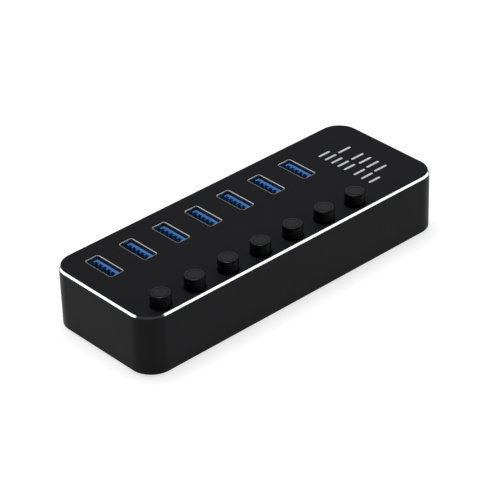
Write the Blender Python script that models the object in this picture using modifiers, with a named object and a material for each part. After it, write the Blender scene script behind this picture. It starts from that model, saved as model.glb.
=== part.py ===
"""A USB hub with seven sockets on top, each with its own push switch, as an assembly of parts.

Units are metres. +X runs along the case to the end that holds the upstream socket and the power jack, -Y is
the side with the buttons, and +Z is up. The origin is under the middle of the case, on the plane that the
rubber feet stand on.
"""

import math

import bmesh
import bpy
from mathutils import Matrix

# Case. Its length follows from the row of sockets and the bay behind it.
SOCKET_COUNT = 7
SOCKET_PITCH = 0.01388
END_TO_FIRST_SOCKET = 0.01175  # plain end of the case to the middle of socket 1
LAST_SOCKET_TO_END = 0.03297  # middle of the last socket to the end with the connectors
CASE_WIDTH = 0.0472
CASE_HEIGHT = 0.0212
CASE_LENGTH = END_TO_FIRST_SOCKET + (SOCKET_COUNT - 1) * SOCKET_PITCH + LAST_SOCKET_TO_END
CORNER_RADIUS = 0.0079
RIM_CHAMFER = 0.00055  # the bright cut round the top face
BASE_FILLET = 0.0002
SIDE_WALL = 0.0013
TOP_WALL = 0.0015
PART_GAP = 0.0003  # left between pieces that touch

# Sockets on top: the opening of a type A socket, with the tongue nearer to the +X wall.
SOCKET_ROW_TO_BACK = 0.01325  # back of the case to the middle of the row
SOCKET_OPENING_LENGTH = 0.0125
SOCKET_OPENING_WIDTH = 0.00512
SOCKET_SHEET = 0.0003
SOCKET_CORNER = 0.0006
SOCKET_RECESS = 0.0001  # mouth of a socket under the top face
SOCKET_HOLE_GAP = 0.0002
TONGUE_LENGTH = 0.0111
TONGUE_THICKNESS = 0.00184
TONGUE_TO_SHEET = 0.00072
TONGUE_RECESS = 0.00085
TONGUE_BASE_HEIGHT = 0.0035

# Buttons and the latching switches under them.
BUTTON_RADIUS = 0.0034
BUTTON_RISE = 0.0044  # top of a raised button over the top face
BUTTON_ROW_SHIFT = -0.00155  # each button sits this far along X from its socket
BUTTON_TO_WALL = 0.0004
BUTTON_HOLE_GAP = 0.00018
BUTTON_EDGE = 0.00045
BUTTON_TRAVEL = 0.0022
SWITCH_SIDE = 0.0058
SWITCH_WALL = 0.0008
SWITCH_ROOF = 0.0009
STEM_RADIUS = 0.0012
STEM_IN_CAP = 0.0050
FLANGE_RADIUS = 0.0018
FLANGE_HEIGHT = 0.0008
SPRING_WIRE = 0.0003
SPRING_RADIUS = 0.0012
SPRING_TURNS = 4
SPRING_CLOSED_HEIGHT = SPRING_TURNS * SPRING_WIRE + 0.0004

# Underside: cover, its posts, the feet and the screws.
FOOT_RISE = 0.0008  # how far a foot stands out of the cover
FOOT_RADIUS = 0.0042
FOOT_SEAT = 0.0005  # depth of the recess that holds a foot
FOOT_FROM_END = 0.0180
FOOT_FROM_SIDE = 0.0090
COVER_THICKNESS = 0.0016
COVER_GAP = 0.00025
POST_HEIGHT = 0.0020
POST_RADIUS = 0.0017
PEG_RADIUS = 0.0008
BOSS_RADIUS = 0.0022
BOSS_TO_BUTTON = 0.0003  # along the plain end, where a boss stands beside the button row
BOSS_ANGLE = math.radians(20)  # at the other end, seen from the middle of the rounded corner
SCREW_LAND = 0.0008  # cover left outside a screw's seat
SCREW_RADIUS = 0.0009
SCREW_HEAD_RADIUS = 0.0017
SCREW_HEAD_HEIGHT = 0.0007
SCREW_LENGTH = 0.0070
SCREW_GAP = 0.00025

# Circuit board and what stands on it.
BOARD_THICKNESS = 0.0016
BOARD_GAP = 0.0006
CHIP_SIDE = 0.0100
CHIP_HEIGHT = 0.0009
CRYSTAL_LENGTH = 0.0110
CRYSTAL_WIDTH = 0.0046
CRYSTAL_HEIGHT = 0.0034
CAPACITOR_RADIUS = 0.00315
CAPACITOR_HEIGHT = 0.0070

# Connectors on the end of the case.
UPSTREAM_WIDTH = 0.0120
UPSTREAM_HEIGHT = 0.0106
UPSTREAM_DEPTH = 0.0170
UPSTREAM_SHEET = 0.0003
UPSTREAM_RECESS = 0.0003
PLUG_WIDTH = 0.0086  # opening for the wide lower part of the plug
PLUG_HEIGHT = 0.0052
PLUG_TOP_WIDTH = 0.0066  # opening for the narrower upper part
PLUG_TOP_HEIGHT = 0.0040
PLUG_DEPTH = 0.0095
PLUG_TONGUE_WIDTH = 0.0056
PLUG_TONGUE_HEIGHT = 0.0022
JACK_WIDTH = 0.0090
JACK_HEIGHT = 0.0095
JACK_DEPTH = 0.0140
JACK_BORE_RADIUS = 0.00315
JACK_BORE_DEPTH = 0.0095
JACK_PIN_RADIUS = 0.0010
JACK_HOLE_RADIUS = 0.0037

# Facets of the round shapes.
CORNER_STEPS = 10
SMALL_CORNER_STEPS = 3
ROUND_STEPS = 28
SMALL_ROUND_STEPS = 16
SPRING_STEPS = 8  # points to a turn

# Heights and places that follow from the sizes above.
CASE_BOTTOM = FOOT_RISE
CASE_TOP = CASE_BOTTOM + CASE_HEIGHT
ROOF_UNDERSIDE = CASE_TOP - TOP_WALL
COVER_TOP = CASE_BOTTOM + COVER_THICKNESS
BOARD_BOTTOM = COVER_TOP + POST_HEIGHT
BOARD_TOP = BOARD_BOTTOM + BOARD_THICKNESS
PARTS_BASE = BOARD_TOP + PART_GAP
INNER_RADIUS = CORNER_RADIUS - SIDE_WALL
END_FACE_X = CASE_LENGTH / 2
END_WALL_X = END_FACE_X - SIDE_WALL

SOCKET_Y = CASE_WIDTH / 2 - SOCKET_ROW_TO_BACK
SOCKET_XS = [-CASE_LENGTH / 2 + END_TO_FIRST_SOCKET + i * SOCKET_PITCH for i in range(SOCKET_COUNT)]
SOCKET_MOUTH = CASE_TOP - SOCKET_RECESS

BUTTON_Y = -(CASE_WIDTH / 2 - SIDE_WALL - BUTTON_TO_WALL - BUTTON_RADIUS)
BUTTON_XS = [x + BUTTON_ROW_SHIFT for x in SOCKET_XS]
BUTTON_TOP = CASE_TOP + BUTTON_RISE
SWITCH_FLOOR = PARTS_BASE + SWITCH_WALL
SWITCH_CEILING = SWITCH_FLOOR + SPRING_CLOSED_HEIGHT + BUTTON_TRAVEL + FLANGE_HEIGHT + 3 * PART_GAP
SWITCH_TOP = SWITCH_CEILING + SWITCH_ROOF
FLANGE_TOP = SWITCH_CEILING - PART_GAP
FLANGE_BOTTOM = FLANGE_TOP - FLANGE_HEIGHT
CAP_BOTTOM = SWITCH_TOP + BUTTON_TRAVEL + PART_GAP
STEM_TOP = CAP_BOTTOM + STEM_IN_CAP

# Bosses for the screws: beside the button row at the plain end, in the corners at the other end.
SCREW_SEAT_RADIUS = SCREW_HEAD_RADIUS + SCREW_GAP
BOSS_REACH = INNER_RADIUS - COVER_GAP - SCREW_LAND - SCREW_SEAT_RADIUS
PLAIN_BOSS_X = -(CASE_LENGTH / 2 - CORNER_RADIUS + BOSS_REACH)
PLAIN_BOSS_Y = -BUTTON_Y - BUTTON_RADIUS - BOSS_TO_BUTTON - BOSS_RADIUS
FAR_BOSS_X = CASE_LENGTH / 2 - CORNER_RADIUS + BOSS_REACH * math.cos(BOSS_ANGLE)
FAR_BOSS_Y = CASE_WIDTH / 2 - CORNER_RADIUS + BOSS_REACH * math.sin(BOSS_ANGLE)
BOSS_PLACES = [(PLAIN_BOSS_X, -PLAIN_BOSS_Y), (FAR_BOSS_X, -FAR_BOSS_Y), (FAR_BOSS_X, FAR_BOSS_Y),
               (PLAIN_BOSS_X, PLAIN_BOSS_Y)]
BOSS_BOTTOM = COVER_TOP + PART_GAP
FOOT_PLACES = [(end * (CASE_LENGTH / 2 - FOOT_FROM_END), side * (CASE_WIDTH / 2 - FOOT_FROM_SIDE))
               for end, side in [(-1, -1), (1, -1), (1, 1), (-1, 1)]]

# The two connectors share the end of the case evenly between the bosses of its corners.
END_ROOM = 2 * (FAR_BOSS_Y - BOSS_RADIUS)
END_SPACE = (END_ROOM - UPSTREAM_WIDTH - JACK_WIDTH) / 3
UPSTREAM_Y = END_ROOM / 2 - END_SPACE - UPSTREAM_WIDTH / 2
JACK_Y = -END_ROOM / 2 + END_SPACE + JACK_WIDTH / 2

FACING_END = (0.0, math.radians(90), 0.0)  # turns a connector's mouth from +Z to +X

# The posts stand between the two rows, under the board's ends and its middle.
POST_Y = (SOCKET_Y - SOCKET_OPENING_LENGTH / 2 + BUTTON_Y + BUTTON_RADIUS) / 2
POST_PLACES = [(share * (CASE_LENGTH / 2 - FOOT_FROM_END), POST_Y) for share in (-1, 0, 1)]


# Ways of making shapes

def block(length, width, bottom, top, radius=0.0, steps=SMALL_CORNER_STEPS, at=(0.0, 0.0)):
    """A box that stands from bottom to top, its four upright edges rounded."""
    shape = bmesh.new()
    place = Matrix.Translation((at[0], at[1], (bottom + top) / 2))
    bmesh.ops.create_cube(shape, size=1.0, matrix=place @ Matrix.Diagonal((length, width, top - bottom, 1.0)))
    if radius > 0:
        upright = [edge for edge in shape.edges if abs(edge.verts[0].co.z - edge.verts[1].co.z) > 1e-6]
        bmesh.ops.bevel(shape, geom=upright, offset=radius, segments=steps, profile=0.5, affect="EDGES")
    return shape


def rod(radius, bottom, top, at=(0.0, 0.0), steps=ROUND_STEPS):
    """An upright cylinder from bottom to top."""
    shape = bmesh.new()
    place = Matrix.Translation((at[0], at[1], (bottom + top) / 2))
    bmesh.ops.create_cone(shape, cap_ends=True, segments=steps, radius1=radius, radius2=radius,
                          depth=top - bottom, matrix=place)
    return shape


def bevel_rim(shape, height, width, steps):
    """Bevels the edges that lie at one height."""
    rim = [edge for edge in shape.edges if all(abs(vert.co.z - height) < 1e-6 for vert in edge.verts)]
    bmesh.ops.bevel(shape, geom=rim, offset=width, segments=steps, profile=0.5, affect="EDGES")


def together(shapes):
    """Several shapes that don't touch, in one mesh, as a cutter."""
    whole = bmesh.new()
    for shape in shapes:
        piece = bpy.data.meshes.new("piece")
        shape.to_mesh(piece)
        shape.free()
        whole.from_mesh(piece)
        bpy.data.meshes.remove(piece)
    return whole


def mesh_of(name, shape):
    mesh = bpy.data.meshes.new(name)
    shape.to_mesh(mesh)
    shape.free()
    return mesh


def carved(name, shape, steps):
    """The mesh of a shape after a list of Boolean steps, each "UNION" or "DIFFERENCE" with another shape."""
    body = bpy.data.objects.new(name, mesh_of(name, shape))
    helpers.objects.link(body)
    others = []
    for operation, other in steps:
        helper = bpy.data.objects.new(f"{name}_helper", mesh_of(f"{name}_helper", other))
        helper.display_type = "WIRE"
        helper.hide_render = True
        helpers.objects.link(helper)
        modifier = body.modifiers.new(operation.lower(), "BOOLEAN")
        modifier.operation = operation
        modifier.solver = "EXACT"
        modifier.object = helper
        others.append(helper)
    bpy.context.view_layer.update()
    mesh = bpy.data.meshes.new_from_object(body.evaluated_get(bpy.context.evaluated_depsgraph_get()))
    mesh.name = name
    for used in [body, *others]:
        data = used.data
        bpy.data.objects.remove(used)
        bpy.data.meshes.remove(data)
    return mesh


def material(name, colour, roughness, metallic=0.0):
    made = bpy.data.materials.new(name)
    made.use_nodes = True
    surface = made.node_tree.nodes["Principled BSDF"]
    surface.inputs["Base Color"].default_value = (*colour, 1.0)
    surface.inputs["Roughness"].default_value = roughness
    surface.inputs["Metallic"].default_value = metallic
    return made


def add_part(name, data, finish, location=(0.0, 0.0, 0.0), rotation=(0.0, 0.0, 0.0), parent=None):
    """Puts a mesh or a curve into the hub as a named part."""
    if not data.materials:
        data.materials.append(finish)
    part = bpy.data.objects.new(name, data)
    part.location = location
    part.rotation_euler = rotation
    part.parent = parent
    hub.objects.link(part)
    return part


def smooth(mesh, angle=30):
    mesh.shade_smooth()
    mesh.set_sharp_from_angle(angle=math.radians(angle))
    return mesh


def profile_mesh(name, points):
    """A half outline of (radius, height), from the top of the axis down the outside and back to the axis."""
    shape = bmesh.new()
    verts = [shape.verts.new((radius, 0.0, height)) for radius, height in points]
    for upper, lower in zip(verts, verts[1:]):
        shape.edges.new((upper, lower))
    return mesh_of(name, shape)


def add_turned(name, outline, finish, location=(0.0, 0.0, 0.0), rotation=(0.0, 0.0, 0.0), parent=None,
               steps=ROUND_STEPS):
    """A part that is its outline turned round Z."""
    part = add_part(name, outline, finish, location, rotation, parent)
    screw = part.modifiers.new("turn", "SCREW")
    screw.axis = "Z"
    screw.steps = steps
    screw.render_steps = steps
    screw.use_merge_vertices = True
    screw.merge_threshold = 0.00001
    screw.use_smooth_shade = True
    return part


def rounded_edge(radius, height, edge, steps=3):
    """Points of a rounded outer top edge, from the flat top to the side."""
    turns = [math.radians(90) * (1 - i / steps) for i in range(steps + 1)]
    return [(radius - edge + edge * math.cos(turn), height - edge + edge * math.sin(turn)) for turn in turns]


# Case

def make_top_shell():
    body = block(CASE_LENGTH, CASE_WIDTH, CASE_BOTTOM, CASE_TOP, CORNER_RADIUS, CORNER_STEPS)
    bevel_rim(body, CASE_TOP, RIM_CHAMFER, 1)
    bevel_rim(body, CASE_BOTTOM, min(BASE_FILLET, SIDE_WALL / 2), 2)
    cavity = block(CASE_LENGTH - 2 * SIDE_WALL, CASE_WIDTH - 2 * SIDE_WALL, CASE_BOTTOM - TOP_WALL,
                   ROOF_UNDERSIDE, INNER_RADIUS, CORNER_STEPS)
    bosses = [rod(BOSS_RADIUS, BOSS_BOTTOM, CASE_TOP - TOP_WALL / 2, place, SMALL_ROUND_STEPS)
              for place in BOSS_PLACES]
    through = TOP_WALL / 2
    hole_length = SOCKET_OPENING_LENGTH + 2 * (SOCKET_SHEET + SOCKET_HOLE_GAP)
    hole_width = SOCKET_OPENING_WIDTH + 2 * (SOCKET_SHEET + SOCKET_HOLE_GAP)
    holes = [block(hole_width, hole_length, ROOF_UNDERSIDE - through, CASE_TOP + through,
                   SOCKET_CORNER + SOCKET_SHEET + SOCKET_HOLE_GAP, SMALL_CORNER_STEPS, (x, SOCKET_Y))
             for x in SOCKET_XS]
    holes += [rod(BUTTON_RADIUS + BUTTON_HOLE_GAP, ROOF_UNDERSIDE - through, CASE_TOP + through,
                  (x, BUTTON_Y)) for x in BUTTON_XS]
    pilots = [rod(SCREW_RADIUS + SCREW_GAP, BOSS_BOTTOM - through, BOSS_BOTTOM + SCREW_LENGTH, place,
                  SMALL_ROUND_STEPS) for place in BOSS_PLACES]
    mid_wall_x = END_WALL_X + SIDE_WALL / 2
    upstream = block(2 * SIDE_WALL, UPSTREAM_WIDTH + 2 * PART_GAP, BOARD_TOP,
                     PARTS_BASE + UPSTREAM_HEIGHT + PART_GAP, at=(mid_wall_x, UPSTREAM_Y))
    jack = rod(JACK_HOLE_RADIUS, -SIDE_WALL, SIDE_WALL)
    turned = Matrix.Translation((mid_wall_x, JACK_Y, PARTS_BASE + JACK_HEIGHT / 2))
    bmesh.ops.transform(jack, matrix=turned @ Matrix.Rotation(math.radians(90), 4, "Y"), verts=jack.verts)
    steps = [("DIFFERENCE", cavity), ("UNION", together(bosses)),
             ("DIFFERENCE", together(holes + pilots + [upstream, jack]))]
    mesh = carved("top_shell", body, steps)
    add_part("top_shell", smooth(mesh), material("black_anodised", (0.020, 0.020, 0.022), 0.42, 0.3))


def make_bottom_cover():
    inset = 2 * (SIDE_WALL + COVER_GAP)
    body = block(CASE_LENGTH - inset, CASE_WIDTH - inset, CASE_BOTTOM, COVER_TOP, INNER_RADIUS - COVER_GAP,
                 CORNER_STEPS)
    sunk = COVER_THICKNESS / 2
    posts = [rod(POST_RADIUS, COVER_TOP - sunk, BOARD_BOTTOM - PART_GAP, place, SMALL_ROUND_STEPS)
             for place in POST_PLACES]
    pegs = [rod(PEG_RADIUS, COVER_TOP, BOARD_TOP, place, SMALL_ROUND_STEPS) for place in POST_PLACES]
    screw_holes = [rod(SCREW_RADIUS + SCREW_GAP, CASE_BOTTOM - sunk, COVER_TOP + sunk, place,
                       SMALL_ROUND_STEPS) for place in BOSS_PLACES]
    seat_top = CASE_BOTTOM + SCREW_HEAD_HEIGHT + SCREW_GAP
    head_seats = [rod(SCREW_SEAT_RADIUS, CASE_BOTTOM - sunk, seat_top, place, SMALL_ROUND_STEPS)
                  for place in BOSS_PLACES]
    foot_seats = [rod(FOOT_RADIUS + COVER_GAP, CASE_BOTTOM - sunk, CASE_BOTTOM + FOOT_SEAT, place)
                  for place in FOOT_PLACES]
    steps = [("UNION", together(posts)), ("UNION", together(pegs)), ("DIFFERENCE", together(screw_holes)),
             ("DIFFERENCE", together(head_seats)), ("DIFFERENCE", together(foot_seats))]
    mesh = carved("bottom_cover", body, steps)
    add_part("bottom_cover", smooth(mesh), material("black_moulded", (0.018, 0.018, 0.019), 0.55))


def make_feet():
    height = FOOT_RISE + FOOT_SEAT - PART_GAP
    edge = FOOT_RISE / 3
    outline = profile_mesh("rubber_foot", [(0.0, height), (FOOT_RADIUS, height), (FOOT_RADIUS, edge),
                                           (FOOT_RADIUS - edge, 0.0), (0.0, 0.0)])
    rubber = material("rubber", (0.015, 0.015, 0.015), 0.85)
    for number, (x, y) in enumerate(FOOT_PLACES, 1):
        add_turned(f"rubber_foot_{number}", outline, rubber, (x, y, 0.0))


def make_screws():
    tip = 2 * SCREW_RADIUS
    outline = profile_mesh("cover_screw", [
        (0.0, SCREW_HEAD_HEIGHT + SCREW_LENGTH - PART_GAP),
        (SCREW_RADIUS / 2, SCREW_HEAD_HEIGHT + SCREW_LENGTH - PART_GAP),
        (SCREW_RADIUS, SCREW_HEAD_HEIGHT + SCREW_LENGTH - PART_GAP - tip),
        (SCREW_RADIUS, SCREW_HEAD_HEIGHT),
        (SCREW_HEAD_RADIUS, SCREW_HEAD_HEIGHT),
        (SCREW_HEAD_RADIUS, SCREW_HEAD_HEIGHT / 3),
        (SCREW_HEAD_RADIUS * 0.8, 0.0),
        (0.0, 0.0),
    ])
    steel = material("zinc_steel", (0.45, 0.45, 0.46), 0.35, 1.0)
    for number, (x, y) in enumerate(BOSS_PLACES, 1):
        add_turned(f"cover_screw_{number}", outline, steel, (x, y, CASE_BOTTOM), steps=SMALL_ROUND_STEPS)


# Board and what stands on it

def make_circuit_board():
    length = CASE_LENGTH - 2 * (SIDE_WALL + BOARD_GAP)
    width = CASE_WIDTH - 2 * (SIDE_WALL + BOARD_GAP)
    body = block(length, width, BOARD_BOTTOM, BOARD_TOP)
    clear = BOSS_RADIUS + BOARD_GAP
    notch = 2 * PLAIN_BOSS_Y  # reaches past the corner of the board
    low, high = BOARD_BOTTOM - BOARD_THICKNESS, BOARD_TOP + BOARD_THICKNESS
    notches = [block(notch, notch, low, high, at=(math.copysign(abs(x) - clear + notch / 2, x),
                                                  math.copysign(abs(y) - clear + notch / 2, y)))
               for x, y in BOSS_PLACES]
    peg_holes = [rod(PEG_RADIUS + PART_GAP, low, high, place, SMALL_ROUND_STEPS) for place in POST_PLACES]
    mesh = carved("circuit_board", body, [("DIFFERENCE", together(notches + peg_holes))])
    add_part("circuit_board", mesh, material("solder_mask", (0.010, 0.075, 0.030), 0.45))


def make_board_parts():
    middle = POST_Y
    chip_x = -SOCKET_PITCH / 2 - CHIP_SIDE
    chip = block(CHIP_SIDE, CHIP_SIDE, PARTS_BASE, PARTS_BASE + CHIP_HEIGHT)
    bevel_rim(chip, PARTS_BASE + CHIP_HEIGHT, CHIP_HEIGHT / 8, 1)
    add_part("hub_chip", mesh_of("hub_chip", chip), material("chip_resin", (0.02, 0.02, 0.02), 0.6),
             (chip_x, middle, 0.0))
    crystal = block(CRYSTAL_LENGTH, CRYSTAL_WIDTH, PARTS_BASE, PARTS_BASE + CRYSTAL_HEIGHT,
                    CRYSTAL_WIDTH * 0.48, 2 * SMALL_CORNER_STEPS)
    add_part("clock_crystal", smooth(mesh_of("clock_crystal", crystal)),
             material("nickel_can", (0.55, 0.55, 0.53), 0.3, 1.0), (CRYSTAL_LENGTH, middle, 0.0))
    bead = CAPACITOR_RADIUS / 12
    waist = PARTS_BASE + CAPACITOR_HEIGHT / 5
    outline = profile_mesh("input_capacitor", [
        (0.0, PARTS_BASE + CAPACITOR_HEIGHT),
        *rounded_edge(CAPACITOR_RADIUS, PARTS_BASE + CAPACITOR_HEIGHT, 2 * bead, 2),
        (CAPACITOR_RADIUS, waist + 2 * bead),
        (CAPACITOR_RADIUS - bead, waist),
        (CAPACITOR_RADIUS, waist - 2 * bead),
        (CAPACITOR_RADIUS, PARTS_BASE),
        (0.0, PARTS_BASE),
    ])
    jack_back = END_WALL_X - PART_GAP - JACK_DEPTH
    add_turned("input_capacitor", outline, material("aluminium_can", (0.50, 0.51, 0.52), 0.3, 0.9),
               (jack_back - 2 * CAPACITOR_RADIUS, JACK_Y, 0.0), steps=SMALL_ROUND_STEPS)


def make_sockets():
    mouth = SOCKET_MOUTH
    outer_length = SOCKET_OPENING_LENGTH + 2 * SOCKET_SHEET
    outer_width = SOCKET_OPENING_WIDTH + 2 * SOCKET_SHEET
    sheet = carved("socket_shell", block(outer_width, outer_length, PARTS_BASE, mouth,
                                         SOCKET_CORNER + SOCKET_SHEET),
                   [("DIFFERENCE", block(SOCKET_OPENING_WIDTH, SOCKET_OPENING_LENGTH, BOARD_BOTTOM,
                                         mouth + BOARD_THICKNESS, SOCKET_CORNER))])
    base_gap = 2 * PART_GAP
    base_top = PARTS_BASE + TONGUE_BASE_HEIGHT
    base = block(SOCKET_OPENING_WIDTH - base_gap, SOCKET_OPENING_LENGTH - base_gap, PARTS_BASE, base_top,
                 SOCKET_CORNER, 2)
    tongue_x = SOCKET_OPENING_WIDTH / 2 - TONGUE_TO_SHEET - TONGUE_THICKNESS / 2
    tongue = block(TONGUE_THICKNESS, TONGUE_LENGTH, base_top - TONGUE_BASE_HEIGHT / 2, mouth - TONGUE_RECESS,
                   at=(tongue_x, 0.0))
    bevel_rim(tongue, mouth - TONGUE_RECESS, TONGUE_THICKNESS / 8, 1)
    insulator = carved("socket_tongue", base, [("UNION", tongue)])
    steel = material("nickel_sheet", (0.62, 0.62, 0.62), 0.25, 1.0)
    blue = material("blue_insulator", (0.03, 0.17, 0.60), 0.4)
    for number, x in enumerate(SOCKET_XS, 1):
        add_part(f"port_shell_{number}", sheet, steel, (x, SOCKET_Y, 0.0))
        add_part(f"port_tongue_{number}", insulator, blue, (x, SOCKET_Y, 0.0))


def make_buttons():
    room = SWITCH_SIDE - 2 * SWITCH_WALL
    hollow = block(room, room, SWITCH_FLOOR, SWITCH_CEILING)
    stem_hole = rod(STEM_RADIUS + PART_GAP, SWITCH_CEILING - SWITCH_ROOF, SWITCH_TOP + SWITCH_ROOF,
                    steps=SMALL_ROUND_STEPS)
    body = carved("switch_body", block(SWITCH_SIDE, SWITCH_SIDE, PARTS_BASE, SWITCH_TOP, SWITCH_WALL / 3, 1),
                  [("DIFFERENCE", hollow), ("DIFFERENCE", stem_hole)])
    resin = material("switch_resin", (0.03, 0.03, 0.035), 0.5)
    stem_resin = material("stem_resin", (0.75, 0.75, 0.72), 0.45)
    cap_resin = material("button_resin", (0.022, 0.022, 0.024), 0.35)
    wire = material("spring_wire", (0.6, 0.6, 0.6), 0.3, 1.0)

    # The outlines of the stem and the cap have their heights from the top of the stem.
    stem = profile_mesh("switch_plunger", [
        (0.0, 0.0),
        (STEM_RADIUS, 0.0),
        (STEM_RADIUS, FLANGE_TOP - STEM_TOP),
        (FLANGE_RADIUS, FLANGE_TOP - STEM_TOP),
        (FLANGE_RADIUS, FLANGE_BOTTOM - STEM_TOP),
        (0.0, FLANGE_BOTTOM - STEM_TOP),
    ])
    cap = profile_mesh("button_cap", [
        (0.0, BUTTON_TOP - STEM_TOP),
        *rounded_edge(BUTTON_RADIUS, BUTTON_TOP - STEM_TOP, BUTTON_EDGE),
        (BUTTON_RADIUS, CAP_BOTTOM - STEM_TOP),
        (STEM_RADIUS + PART_GAP, CAP_BOTTOM - STEM_TOP),
        (STEM_RADIUS + PART_GAP, PART_GAP),
        (0.0, PART_GAP),
    ])
    for number, x in enumerate(BUTTON_XS, 1):
        axis = bpy.data.objects.new(f"button_axis_{number}", None)
        axis.location = (x, BUTTON_Y, STEM_TOP)
        axis.empty_display_size = BUTTON_RADIUS
        hub.objects.link(axis)
        add_part(f"switch_body_{number}", body, resin, (x, BUTTON_Y, 0.0))
        add_part(f"switch_spring_{number}", spring_curve(), wire, (x, BUTTON_Y, 0.0))
        add_turned(f"switch_plunger_{number}", stem, stem_resin, parent=axis, steps=SMALL_ROUND_STEPS)
        add_turned(f"button_cap_{number}", cap, cap_resin, parent=axis)


def spring_curve():
    """A helix of wire between the floor of the switch and the flange of its plunger."""
    low = SWITCH_FLOOR + PART_GAP + SPRING_WIRE / 2
    high = FLANGE_BOTTOM - PART_GAP - SPRING_WIRE / 2
    curve = bpy.data.curves.new("switch_spring", "CURVE")
    curve.dimensions = "3D"
    curve.bevel_depth = SPRING_WIRE / 2
    curve.bevel_resolution = 0
    curve.use_fill_caps = True
    count = SPRING_TURNS * SPRING_STEPS
    line = curve.splines.new("POLY")
    line.points.add(count)
    for i in range(count + 1):
        turn = 2 * math.pi * i / SPRING_STEPS
        height = low + (high - low) * i / count
        line.points[i].co = (SPRING_RADIUS * math.cos(turn), SPRING_RADIUS * math.sin(turn), height, 1.0)
    return curve


# Connectors on the end. Each is built with its mouth up, at height 0, and then turned to face +X.

def make_upstream_socket():
    sheet = 2 * UPSTREAM_SHEET
    outside = block(UPSTREAM_HEIGHT, UPSTREAM_WIDTH, -UPSTREAM_DEPTH, 0.0, SOCKET_CORNER)
    inside = block(UPSTREAM_HEIGHT - sheet, UPSTREAM_WIDTH - sheet, -2 * UPSTREAM_DEPTH, UPSTREAM_DEPTH,
                   SOCKET_CORNER - UPSTREAM_SHEET)
    shell = carved("upstream_shell", outside, [("DIFFERENCE", inside)])
    inset = sheet + 2 * PART_GAP
    core = block(UPSTREAM_HEIGHT - inset, UPSTREAM_WIDTH - inset, -UPSTREAM_DEPTH, -PART_GAP)
    # Local +X points down once the socket is turned, so the narrow upper opening is on the -X side.
    whole = PLUG_HEIGHT + PLUG_TOP_HEIGHT
    lower_x = whole / 2 - PLUG_HEIGHT / 2
    upper_x = -whole / 2 + PLUG_TOP_HEIGHT / 2
    lower = block(PLUG_HEIGHT, PLUG_WIDTH, -PLUG_DEPTH, UPSTREAM_RECESS, at=(lower_x, 0.0))
    overlap = PLUG_TOP_HEIGHT / 5
    upper = block(PLUG_TOP_HEIGHT + overlap, PLUG_TOP_WIDTH, -PLUG_DEPTH, UPSTREAM_RECESS,
                  at=(upper_x + overlap / 2, 0.0))
    tongue_top = -4 * PART_GAP
    tongue = block(PLUG_TONGUE_HEIGHT, PLUG_TONGUE_WIDTH, -PLUG_DEPTH - PART_GAP, tongue_top,
                   at=(lower_x, 0.0))
    mesh = carved("upstream_core", core, [("DIFFERENCE", lower), ("DIFFERENCE", upper), ("UNION", tongue)])
    place = (END_FACE_X - UPSTREAM_RECESS, UPSTREAM_Y, PARTS_BASE + UPSTREAM_HEIGHT / 2)
    add_part("upstream_socket_shell", shell, bpy.data.materials["nickel_sheet"], place, FACING_END)
    add_part("upstream_socket_core", mesh, bpy.data.materials["blue_insulator"], place, FACING_END)


def make_power_jack():
    body = carved("power_jack_body", block(JACK_HEIGHT, JACK_WIDTH, -JACK_DEPTH, 0.0),
                  [("DIFFERENCE", rod(JACK_BORE_RADIUS, -JACK_BORE_DEPTH, JACK_BORE_DEPTH))])
    place = (END_WALL_X - PART_GAP, JACK_Y, PARTS_BASE + JACK_HEIGHT / 2)
    resin = material("jack_resin", (0.02, 0.02, 0.02), 0.5)
    add_part("power_jack_body", smooth(body), resin, place, FACING_END)
    tip = -2 * PART_GAP
    outline = profile_mesh("power_jack_pin", [
        (0.0, tip),
        *rounded_edge(JACK_PIN_RADIUS, tip, JACK_PIN_RADIUS * 0.6),
        (JACK_PIN_RADIUS, -JACK_BORE_DEPTH + PART_GAP),
        (0.0, -JACK_BORE_DEPTH + PART_GAP),
    ])
    plated = material("jack_pin", (0.7, 0.68, 0.6), 0.25, 1.0)
    add_turned("power_jack_pin", outline, plated, place, FACING_END, steps=SMALL_ROUND_STEPS)


for old in list(bpy.data.objects):
    bpy.data.objects.remove(old)
hub = bpy.data.collections.new("usb_hub")
helpers = bpy.data.collections.new("cutters")
for collection in (hub, helpers):
    bpy.context.scene.collection.children.link(collection)

make_top_shell()
make_bottom_cover()
make_feet()
make_screws()
make_circuit_board()
make_board_parts()
make_sockets()
make_buttons()
make_upstream_socket()
make_power_jack()
print(f"case {CASE_LENGTH:.4f} x {CASE_WIDTH:.4f} x {CASE_HEIGHT:.4f} m, buttons to {BUTTON_TOP:.4f} m")
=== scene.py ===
# %% [markdown]
# A desk hub with seven sockets on top
#
# The real thing is a machined case of black anodised aluminium with a bright cut round its top,
# seven sockets of folded sheet steel, and seven push buttons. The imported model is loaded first,
# because it says where each part is. The fine pieces below are then built in the same places, in
# metres, and each one rides on the body of the part that it stands for.

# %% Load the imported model
import math

import bmesh
import bpy
from mathutils import Matrix, Vector


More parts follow.
